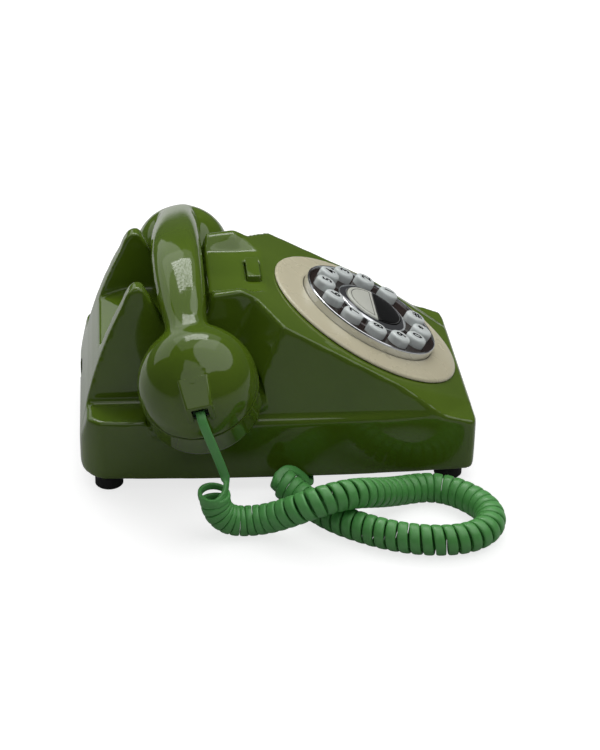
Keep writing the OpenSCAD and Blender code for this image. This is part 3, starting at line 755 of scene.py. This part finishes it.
def handle_form():
    """A tube whose section changes from station to station, made along a smooth line."""
    line = along(handle_stations, HANDLE_STEPS)
    a = 2 * math.pi / HANDLE_POINTS * np.arange(HANDLE_POINTS)
    wide = rounded(np.cos(a), HANDLE_POWER)
    tall = rounded(np.sin(a), HANDLE_POWER)
    slope = np.gradient(line[:, 1], line[:, 0])
    lean = np.stack([-slope, np.ones(len(line))], axis=1) / np.hypot(slope, 1)[:, None]
    verts = []
    for (x, z, w, t), (nx, nz) in zip(line, lean):
        for c, d in zip(wide, tall):
            place = Vector(((x + nx * t * d) * MM, w * c * MM, (z + nz * t * d) * MM))
            verts.append(handset_frame @ place)
    faces = ring_faces(len(line), HANDLE_POINTS) + end_faces(len(line), HANDLE_POINTS)
    return mesh_piece("handle_form", verts, faces)


def cup_distance(points):
    """Distance from the nearer cup's ball, below 0 inside it."""
    mouth = np.linalg.norm(in_frame(points, mouth_frame), axis=1) - CUP_R
    ear = np.linalg.norm(in_frame(points, ear_frame), axis=1) - EAR_R
    return np.minimum(mouth, ear)


def thin_core(points):
    """Draws in the plain handle of the CAD node, so that the new handle covers it."""
    local = in_frame(points, handset_frame)
    on_handle = fade(cup_distance(points), 0.1, 1.5) * (local[:, 2] > 4)
    at_neck = np.exp(-((np.abs(local[:, 0]) - NECK_X) / NECK_REACH) ** 2)
    local[:, 1] *= 1 - (1 - CORE_WIDTH_SHARE + NECK_MORE * at_neck) * on_handle
    local[:, 2] -= CORE_DROP * on_handle
    return out_of_frame(local, handset_frame)


def handset_softness(points, k):
    """The seams and the cord's lug stay crisp. Round 1 melts most where the handle meets the cups."""
    mouth = in_frame(points, mouth_frame)
    ear = in_frame(points, ear_frame)
    weight = fade(mouth[:, 2] - SEAM_Z, 1.5, 5) + (points[:, 0] > 0)
    weight *= fade(ear[:, 2] - SEAM_Z, 1.5, 5) + (points[:, 0] < 0)
    weight *= 0.06 + 0.94 * fade(box_distance(mouth, LUG_LOW, LUG_HIGH), 0.5, 3)
    if k == 1:
        weight *= 1 - 0.8 * fade(np.abs(cup_distance(points)), 5, 14)
        weight *= np.where(points[:, 0] > 0, 0.3, 1.0)
        weight *= fade(in_frame(points, handset_frame)[:, 2], 6, 16)
    return weight


handset = melted(
    "handset_shell", "moulded_handset", HANDSET_VOXEL, HANDSET_ROUNDS,
    handset_softness, thin_core, handle_form(),
)
dress(handset, "green_plastic")
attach(handset, "handset")

# %% [markdown]
# ## Hood over the cord's way out
# On the mouthpiece cup a small square hood frames the opening that the cord comes out of. Its edges
# are crisp, so it isn't melted with the handset. It is an arch in section, larger at its root than at
# its front, so two outlines joined by faces make it.

# %% Hood over the cord's way out
HOOD_FOOT = 11.5
HOOD_IN, HOOD_IN_TOP = 4.1, 20.8
HOOD_FRONT, HOOD_FRONT_HALF, HOOD_FRONT_TOP = -29.4, 6.8, 22.7
HOOD_ROOT, HOOD_ROOT_HALF, HOOD_ROOT_TOP = -13.0, 8.2, 28.2
HOOD_SLANT = 0.14
HOOD_EDGE = 1.0
HOOD_BEVEL = 0.4


def mirrored_back(side):
    """The same points on the other side, in reverse order."""
    return [(-y, z) for y, z in side[::-1]]


def hood_section(half, top):
    """Outline of the hood across its length: an arch with an opening below, as (across, height)."""
    outside = [(-half, HOOD_FOOT), (-half, top - HOOD_EDGE), (-half + HOOD_EDGE, top)]
    inside = [(HOOD_IN, HOOD_FOOT), (HOOD_IN, HOOD_IN_TOP)]
    return outside + mirrored_back(outside) + inside + mirrored_back(inside)


front = [
    (HOOD_FRONT + (z - HOOD_FOOT) * HOOD_SLANT, y, z)
    for y, z in hood_section(HOOD_FRONT_HALF, HOOD_FRONT_TOP)
]
root = [(HOOD_ROOT, y, z) for y, z in hood_section(HOOD_ROOT_HALF, HOOD_ROOT_TOP)]
hood_faces = ring_faces(2, len(front)) + end_faces(2, len(front))
hood_points = [mouth_frame @ (Vector(c) * MM) for c in front + root]
hood = mesh_piece("cord_hood", hood_points, hood_faces, smooth=False)
hood_edge = hood.modifiers.new("fine_edge", "BEVEL")
hood_edge.width = HOOD_BEVEL * MM
hood_edge.segments = 2
dress(hood, "green_plastic")
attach(hood, "handset")
print("hood length in mm:", round(HOOD_ROOT - HOOD_FRONT, 1))

# %% [markdown]
# ## Turned pieces
# Caps, keys and rings are round. Half of the outline is enough for each: it is turned about an axis
# like a pot on a wheel. A Screw modifier could do this too, but points made directly can be set in
# the piece's own frame at once.

# %% Helper for turned pieces
TURN_STEPS = 64


def turned(name, outline, frame_of, steps=TURN_STEPS, closed=False):
    """A solid turned from a half outline of (radius, height). A closed outline needs no end faces."""
    verts = []
    for r, z in outline:
        for k in range(steps):
            a = 2 * math.pi * k / steps
            verts.append(frame_of @ Vector((r * math.cos(a) * MM, r * math.sin(a) * MM, z * MM)))
    faces = ring_faces(len(outline), steps)
    if not closed:
        faces += end_faces(len(outline), steps)
    return mesh_piece(name, verts, faces)


# %% [markdown]
# ## Caps of the cups
# A round cap closes each cup below its dome, and a fine dark line shows where they meet. Its outline
# runs up inside too, so the cap is a thin shell that is open towards the dome, with a rounded lower
# edge.

# %% Caps
CAP_DEPTH = 24.5
CAP_WALL = 2.4
CAP_EDGE = 7.0
CAP_SEAM = 0.35
SKIRT_IN = 0.6
MIDDLE_R = 0.5


def cap_arc(skirt, radius, angles):
    """Points of the rounded lower edge, with the given radius of rounding."""
    middle_r, middle_z = skirt - CAP_EDGE, -CAP_DEPTH + CAP_EDGE
    return [(middle_r + radius * math.cos(a), middle_z + radius * math.sin(a)) for a in angles]


def cap_outline(radius):
    """Outside of the cap from its middle to the seam, then its inside back to the middle."""
    angles = np.linspace(-math.pi / 2, 0, 12)
    skirt = radius - SKIRT_IN
    top = SEAM_Z - CAP_SEAM
    outside = cap_arc(skirt, CAP_EDGE, angles)
    rim = [(radius - 0.2, SEAM_Z - 1.2), (radius - 0.1, top - 0.4), (radius - 0.5, top)]
    rim_in = [(radius - CAP_WALL - SKIRT_IN, top)]
    inside = cap_arc(skirt, CAP_EDGE - CAP_WALL, angles[::-1])
    first, last = (MIDDLE_R, -CAP_DEPTH), (MIDDLE_R, -CAP_DEPTH + CAP_WALL)
    return [first] + outside + rim + rim_in + inside + [last]


for name, node_name, cup, radius in (
    ("round_mouthpiece", "mouthpiece_cap", mouth_frame, CUP_R),
    ("round_earpiece", "earpiece_cap", ear_frame, EAR_R),
):
    cap = turned(name, cap_outline(radius), cup)
    dress(cap, "green_plastic")
    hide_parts(node_name)
    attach(cap, "handset")
    print(name, "width in mm:", 2 * radius)

# %% [markdown]
# ## Keys and their numbers
# Each key is a short round peg with a flange at its foot, a rounded edge and a slightly domed top. It
# is turned from that half outline. The numbers are thin flat text, laid on the top of each key, so
# they ride down with it.

# %% Keys
KEY_RING_R = 30.3
KEY_FIRST = math.radians(-25.6)
KEY_STEP = math.radians(28.8)
KEY_R = 5.8
KEY_TOP = 11.5
KEY_FOOT = 1.2
KEY_FLANGE_R, KEY_FLANGE_TOP = 6.6, 3.7
EDGE_R = 1.7
CROWN = 0.2
edge_arc = [
    (KEY_R - EDGE_R + EDGE_R * math.cos(a), KEY_TOP - CROWN - EDGE_R + EDGE_R * math.sin(a))
    for a in np.linspace(0, math.pi / 2, 9)
]
key_outline = [(KEY_FLANGE_R, KEY_FOOT), (KEY_FLANGE_R, KEY_FLANGE_TOP), (KEY_R, KEY_FLANGE_TOP)]
key_outline += edge_arc + [(2.2, KEY_TOP - 0.05), (0.4, KEY_TOP)]
key_marks = ["1", "2", "3", "4", "5", "6", "7", "8", "9", "0", "star", "hash"]
MARK_SIZE = 7.8


def flat_text(name, text, size, place):
    """Flat printed text, centred on place."""
    curve = bpy.data.curves.new(name, "FONT")
    curve.body = text
    curve.size = size * MM
    curve.align_x = "CENTER"
    curve.align_y = "CENTER"
    curve.extrude = 0.08 * MM
    curve.offset = 0.18 * MM
    curve.resolution_u = 6
    words = bpy.data.objects.new(name, curve)
    bpy.context.scene.collection.objects.link(words)
    bpy.context.view_layer.update()
    shown = words.evaluated_get(bpy.context.evaluated_depsgraph_get())
    mesh = bpy.data.meshes.new_from_object(shown)
    bpy.data.objects.remove(words)
    mesh.transform(place)
    piece = bpy.data.objects.new(name, mesh)
    bpy.context.scene.collection.objects.link(piece)
    return piece


for i, mark in enumerate(key_marks):
    a = KEY_FIRST + i * KEY_STEP
    place = dial_frame @ move(KEY_RING_R * math.cos(a), KEY_RING_R * math.sin(a), 0)
    key = turned(f"domed_key_{mark}", key_outline, place)
    dress(key, "white_plastic")
    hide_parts(f"key_{mark}")
    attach(key, f"key_{mark}_body")
    text = {"star": "*", "hash": "#"}.get(mark, mark)
    number = flat_text(f"number_{mark}", text, MARK_SIZE, place @ move(0, 0, KEY_TOP - 0.04))
    dress(number, "black_plastic")
    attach(number, f"key_{mark}_body")
print("keys:", len(key_marks))

# %% [markdown]
# ## Plated rings
# A plated bezel goes round all the keys and a plated ring round the hub in their middle. Both are
# turned. A mirror finish shows the least fault in the shading, so each outer wall has an extra point
# just below its rounded top: without it the smooth shading would bend the whole wall's reflection.
# A thin dark strip inside the bezel ends the keypad's face.

# %% Plated rings
HUB_R = 16.6
HUB_SPLIT = -0.8
HUB_TOP = 10.2
HUB_FOOT = 2.0
HUB_GAP = 0.25
FACE_TOP = 6.5
ring_outline = [
    (21.3, FACE_TOP - 0.5), (21.3, 7.8), (21.3, 8.0), (21.0, 8.5), (20.4, 8.8), (18.6, 9.5),
    (17.7, 9.6), (17.2, 9.3), (17.1, 8.8), (17.1, FACE_TOP - 0.5), (21.3, FACE_TOP - 0.5),
]
hub_ring = turned("plated_hub_ring", ring_outline, dial_frame, closed=True)
dress(hub_ring, "chrome")
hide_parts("hub_ring")
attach(hub_ring, "base")

BEZEL_R = 40.3
FLANGE_DEPTH = 3.0
RING_STEPS = 128
bezel_outline = [
    (BEZEL_R - 2, -FLANGE_DEPTH - 2), (BEZEL_R + 5, -FLANGE_DEPTH - 2), (BEZEL_R + 5, -FLANGE_DEPTH),
    (BEZEL_R, -FLANGE_DEPTH), (BEZEL_R, 6.6), (BEZEL_R, 6.9), (BEZEL_R - 0.15, 7.4),
    (BEZEL_R - 0.5, 7.6), (BEZEL_R - 0.9, 7.5), (BEZEL_R - 1.1, 7.1), (BEZEL_R - 1.1, FACE_TOP - 1),
    (BEZEL_R - 2, FACE_TOP - 1), (BEZEL_R - 2, -FLANGE_DEPTH - 2),
]
bezel = turned("plated_bezel", bezel_outline, dial_frame, steps=RING_STEPS, closed=True)
dress(bezel, "chrome")
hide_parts("keypad_bezel")
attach(bezel, "base")
face_edge = [
    (BEZEL_R - 2.4, FACE_TOP - 0.8), (BEZEL_R - 1.1, FACE_TOP - 0.8), (BEZEL_R - 1.1, FACE_TOP),
    (BEZEL_R - 2.4, FACE_TOP), (BEZEL_R - 2.4, FACE_TOP - 0.8),
]
edge_strip = turned("face_edge", face_edge, dial_frame, steps=RING_STEPS, closed=True)
dress(edge_strip, "brown_plastic")
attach(edge_strip, "base")
print("bezel width in mm:", 2 * BEZEL_R)

# %% [markdown]
# ## Hub buttons
# Two larger buttons share the round hub. Each is the part of a disc on its side of a straight split,
# so its outline is an arc and a chord. Outlines that are drawn in step by step make the soft top edge,
# and a thin line on the upper button marks the edge of its finger rest.

# %% Hub buttons
HUB_EDGE = 0.8
LINE_IN, LINE_WIDE = 2.0, 0.35
LINE_DEEP, LINE_HIGH = 0.1, 0.04


def hub_outline(upper, inset, count=40):
    """Outline of one hub button, drawn in by inset, as points in the plane of the dial."""
    r = HUB_R - inset
    y = HUB_SPLIT + (HUB_GAP + inset) * (1 if upper else -1)
    start = math.asin(y / r)
    stop = math.pi - start
    if not upper:
        start, stop = stop, 2 * math.pi + start
    turn_by = np.linspace(start, stop, count)
    chord = np.linspace(0, 1, 10)[1:-1]
    first, last = (r * math.cos(start), y), (r * math.cos(stop), y)
    edge = [(last[0] + (first[0] - last[0]) * c, y) for c in chord]
    return [(r * math.cos(a), r * math.sin(a)) for a in turn_by] + edge


def stacked(name, levels, frame_of):
    """A solid made of outlines that have as many points each, every one at its own height."""
    count = len(levels[0][0])
    verts = [frame_of @ Vector((x * MM, y * MM, z * MM)) for outline, z in levels for x, y in outline]
    return mesh_piece(name, verts, ring_faces(len(levels), count) + end_faces(len(levels), count))


for upper, node_name, body, slot_name, finish_name in (
    (True, "hub_cream_button", "hub_upper", "cream_plastic", "ivory_plastic"),
    (False, "hub_black_button", "hub_lower", "black_plastic", "black_plastic"),
):
    levels = [(hub_outline(upper, 0), HUB_FOOT), (hub_outline(upper, 0), HUB_TOP - HUB_EDGE)]
    levels += [
        (hub_outline(upper, HUB_EDGE * (1 - math.cos(a))), HUB_TOP - HUB_EDGE + HUB_EDGE * math.sin(a))
        for a in np.linspace(0.3, math.pi / 2, 5)
    ]
    button = stacked(f"soft_{node_name}", levels, dial_frame)
    dress(button, finish_name)
    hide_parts(node_name)
    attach(button, body)
    if not upper:
        continue
    outer, inner = hub_outline(upper, LINE_IN), hub_outline(upper, LINE_IN + LINE_WIDE)
    low, high = HUB_TOP - LINE_DEEP, HUB_TOP + LINE_HIGH
    rest = [(outer, low), (outer, high), (inner, high), (inner, low)]
    line = stacked(f"finger_rest_line_{body}", rest, dial_frame)
    dress(line, "brown_plastic")
    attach(line, body)
print("hub width in mm:", 2 * HUB_R)

# %% [markdown]
# ## Pieces that keep their CAD form
# The cream disc, the recall button, the base plate, the two cord sockets and the feet have the right
# form already. A narrow bevel catches the light along their edges, as the small radius of a real
# moulding does. A weld comes first, because a bevel needs faces that share their edges.

# %% Fine bevels
BEVEL_FROM = math.radians(25)
bevel_widths = {
    "dial_plate": 0.5, "recall_button": 0.8, "base_plate": 0.4,
    "cord_socket": 0.3, "handset_socket": 0.25, "rubber_feet": 0.5,
}
for name, width in bevel_widths.items():
    weld = nodes[name].modifiers.new("weld", "WELD")
    weld.merge_threshold = WELD_GAP * MM
    edge = nodes[name].modifiers.new("fine_edge", "BEVEL")
    edge.width = width * MM
    edge.segments = 3
    edge.limit_method = "ANGLE"
    edge.angle_limit = BEVEL_FROM
    edge.harden_normals = True
    faces = nodes[name].data.polygons
    faces.foreach_set("use_smooth", [True] * len(faces))
print("bevelled pieces:", len(bevel_widths))

# %% [markdown]
# ## Floor
# The telephone stands on white paper that shows as white to the camera and keeps a soft shadow. A
# brighter lamp would burn out the shadow, so the paper is grey and glows for the camera's rays, and
# only faintly in reflections. The Light Path node tells these rays apart.

# %% Floor
FLOOR_HALF = 4.0
CAMERA_GLOW = 0.76
MIRROR_GLOW = 0.08
corners = [(x * FLOOR_HALF, y * FLOOR_HALF, 0) for x, y in ((-1, -1), (1, -1), (1, 1), (-1, 1))]
floor = mesh_piece("floor", corners, [(0, 1, 2, 3)], smooth=False)
floor_paint, floor_tree, floor_shader = finish_material("white_paper", colour("#b6b6b6"))
floor_shader.inputs["Roughness"].default_value = 0.9
floor_shader.inputs["Specular IOR Level"].default_value = 0.1
floor_shader.inputs["Emission Color"].default_value = (1, 1, 1, 1)
ray = add(floor_tree, "ShaderNodeLightPath")
mirrored = add(
    floor_tree, "ShaderNodeMath",
    {0: ray.outputs["Is Glossy Ray"], 1: ray.outputs["Is Transmission Ray"]}, operation="MAXIMUM",
)
seen = add(floor_tree, "ShaderNodeMath", {0: ray.outputs["Is Camera Ray"]}, operation="MULTIPLY")
seen.inputs[1].default_value = CAMERA_GLOW
glow = add(
    floor_tree, "ShaderNodeMath",
    {0: mirrored.outputs["Value"], 2: seen.outputs["Value"]}, operation="MULTIPLY_ADD",
)
glow.inputs[1].default_value = MIRROR_GLOW
floor_tree.links.new(glow.outputs["Value"], floor_shader.inputs["Emission Strength"])
floor.data.materials.append(floor_paint)
print("floor width in m:", 2 * FLOOR_HALF)

# %% [markdown]
# ## Lamps and room
# Glossy plastic looks like what it mirrors, so the lamps are large faces. A round umbrella hangs above
# and to the front, a ceiling and a far wall give broad pale reflections, and a fill stands on the
# camera's side. A small lamp brightens the paper behind the telephone and is hidden from mirrors. On
# the far side a window with blinds is a stack of narrow lamps, which draws the stripes on the gloss.

# %% Lamps and room


def soft_lamp(name, place, aim, size, level, shape="RECTANGLE"):
    """An area lamp. level is how bright its face looks, where 1 is as bright as white paper."""
    lamp_data = bpy.data.lights.new(name, "AREA")
    lamp_data.shape = shape
    lamp_data.size, lamp_data.size_y = size
    area = size[0] * size[1] * (math.pi / 4 if shape == "ELLIPSE" else 1)
    lamp_data.energy = level * math.pi * area
    lamp = bpy.data.objects.new(name, lamp_data)
    bpy.context.scene.collection.objects.link(lamp)
    lamp.location = place
    lamp.rotation_euler = (Vector(aim) - Vector(place)).to_track_quat("-Z", "Y").to_euler()
    return lamp


AIM = (0, 0, 0.06)
WINDOW_LEVEL, WINDOW_WIDE = 6, 0.9
ROOM_LEVEL = 0.07
soft_lamp("overhead_umbrella", (0.0, -0.55, 1.25), AIM, (1.7, 1.7), 1.3, "ELLIPSE")
soft_lamp("ceiling", (1.2, 0.0, 2.0), AIM, (2.4, 1.9), 0.45)
soft_lamp("far_wall", (1.2, 1.05, 1.05), AIM, (1.85, 1.1), 0.75)
soft_lamp("camera_side_fill", (-0.9, 0.4, 1.3), AIM, (0.9, 0.9), 0.7)
backdrop = soft_lamp("backdrop_lamp", (0.8, 0.55, 0.6), (0.8, 0.55, 0), (0.5, 0.5), 6)
backdrop.visible_glossy = False
BLIND_SLATS = 10
BLIND_STEP = 0.05
BLIND_SHARE = 0.6
window_place = Vector((1.095, 0.05, 1.48))
window_rise = Vector((-0.77, 0, 0.64))
for k in range(BLIND_SLATS):
    place = window_place + window_rise * (k - (BLIND_SLATS - 1) / 2) * BLIND_STEP
    slat = (WINDOW_WIDE, BLIND_STEP * BLIND_SHARE)
    soft_lamp(f"blind_slat_{k}", place, AIM, slat, WINDOW_LEVEL)

world = bpy.data.worlds.new("room")
bpy.context.scene.world = world
world.use_nodes = True
room_light = world.node_tree.nodes["Background"]
room_light.inputs["Color"].default_value = (0.95, 0.97, 1.0, 1)
room_light.inputs["Strength"].default_value = ROOM_LEVEL
bpy.context.scene.view_settings.view_transform = "Standard"
print("lamps:", len(bpy.data.lights))
